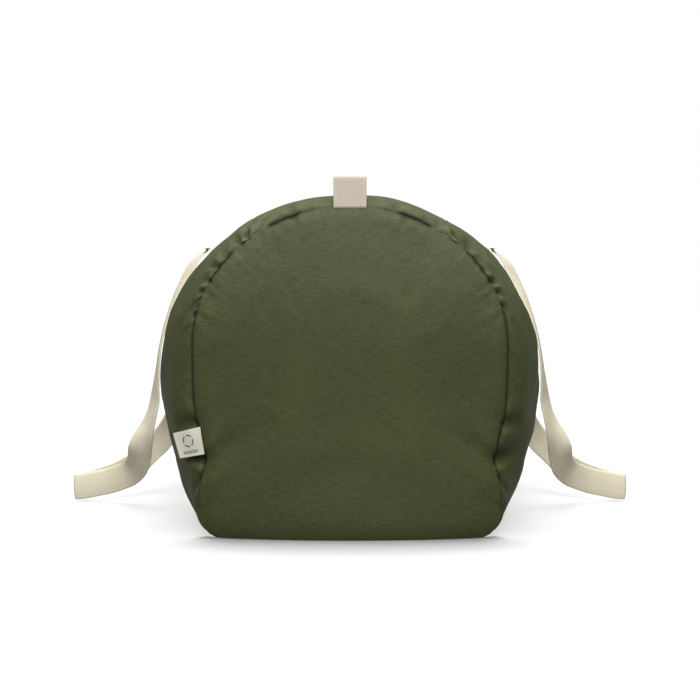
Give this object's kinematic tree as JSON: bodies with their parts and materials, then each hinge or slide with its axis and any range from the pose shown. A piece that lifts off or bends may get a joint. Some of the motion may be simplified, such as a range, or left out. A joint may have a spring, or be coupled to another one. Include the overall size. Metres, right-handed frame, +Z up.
{
  "type": "duffel bag",
  "caption": "Stuffed canvas duffel bag with D-shaped ends, a zipped top mouth that folds open and two webbing carry handles sewn to its sides.",
  "frame": {"origin": "middle of the base, on the surface the bag stands on", "axes": "+X across the bag to the right as seen from the near end, +Y along the bag from its near end to its far end, +Z up"},
  "size_m": [0.588, 0.508, 0.3289],
  "materials": {
    "canvas": "matt",
    "webbing": "matt",
    "zip_cloth": "matt",
    "zip_chain": "satin",
    "metal": "satin",
    "board": "matt",
    "label": "matt"
  },
  "bodies": {
    "bag": {"base_panel": "canvas", "left_side_panel": "canvas", "right_side_panel": "canvas", "near_end_panel": "canvas", "far_end_panel": "canvas", "near_seam_binding": "zip_cloth", "far_seam_binding": "zip_cloth", "base_board": "board", "left_near_anchor_strap": "webbing", "left_far_anchor_strap": "webbing", "right_near_anchor_strap": "webbing", "right_far_anchor_strap": "webbing", "near_zip_tab": "webbing", "far_zip_tab": "webbing", "care_label": "label"},
    "left_mouth": {"left_mouth_flap": "canvas", "left_zip_tape": "zip_cloth", "left_zip_coil": "zip_chain"},
    "right_mouth": {"right_mouth_flap": "canvas", "right_zip_tape": "zip_cloth", "right_zip_coil": "zip_chain"},
    "slider": {"zip_slider": "metal"},
    "puller": {"pull_tab": "metal", "pull_ribbon": "webbing"},
    "left_carry": {"left_handle": "webbing"},
    "right_carry": {"right_handle": "webbing"}
  },
  "joints": [
    {"name": "zip_slide", "type": "slide", "parent": "bag", "child": "slider", "axis": [0, 1, 0], "range_m": [-0.386, 0], "deforming": ["left_zip_tape", "right_zip_tape", "left_zip_coil", "right_zip_coil"]},
    {"name": "left_flap_fold", "type": "hinge", "parent": "bag", "child": "left_mouth", "pos_m": [-0.088, 0, 0.29359], "axis": [0, -1, 0], "range_deg": [0, 75]},
    {"name": "right_flap_fold", "type": "hinge", "parent": "bag", "child": "right_mouth", "pos_m": [0.088, 0, 0.29359], "axis": [0, 1, 0], "range_deg": [0, 75]},
    {"name": "puller_swing", "type": "hinge", "parent": "slider", "child": "puller", "pos_m": [0, 0.1925, 0.3168], "axis": [-1, 0, 0], "range_deg": [0, 170]},
    {"name": "left_handle_swing", "type": "hinge", "parent": "bag", "child": "left_carry", "pos_m": [-0.14282, 0, 0.26234], "axis": [0, 1, 0], "range_deg": [0, 172]},
    {"name": "right_handle_swing", "type": "hinge", "parent": "bag", "child": "right_carry", "pos_m": [0.14282, 0, 0.26234], "axis": [0, -1, 0], "range_deg": [0, 172]}
  ],
  "couplings": [
    {"joint": "left_flap_fold", "follows": "zip_slide", "rad_per_m": -3.39},
    {"joint": "right_flap_fold", "follows": "zip_slide", "rad_per_m": -3.39}
  ]
}
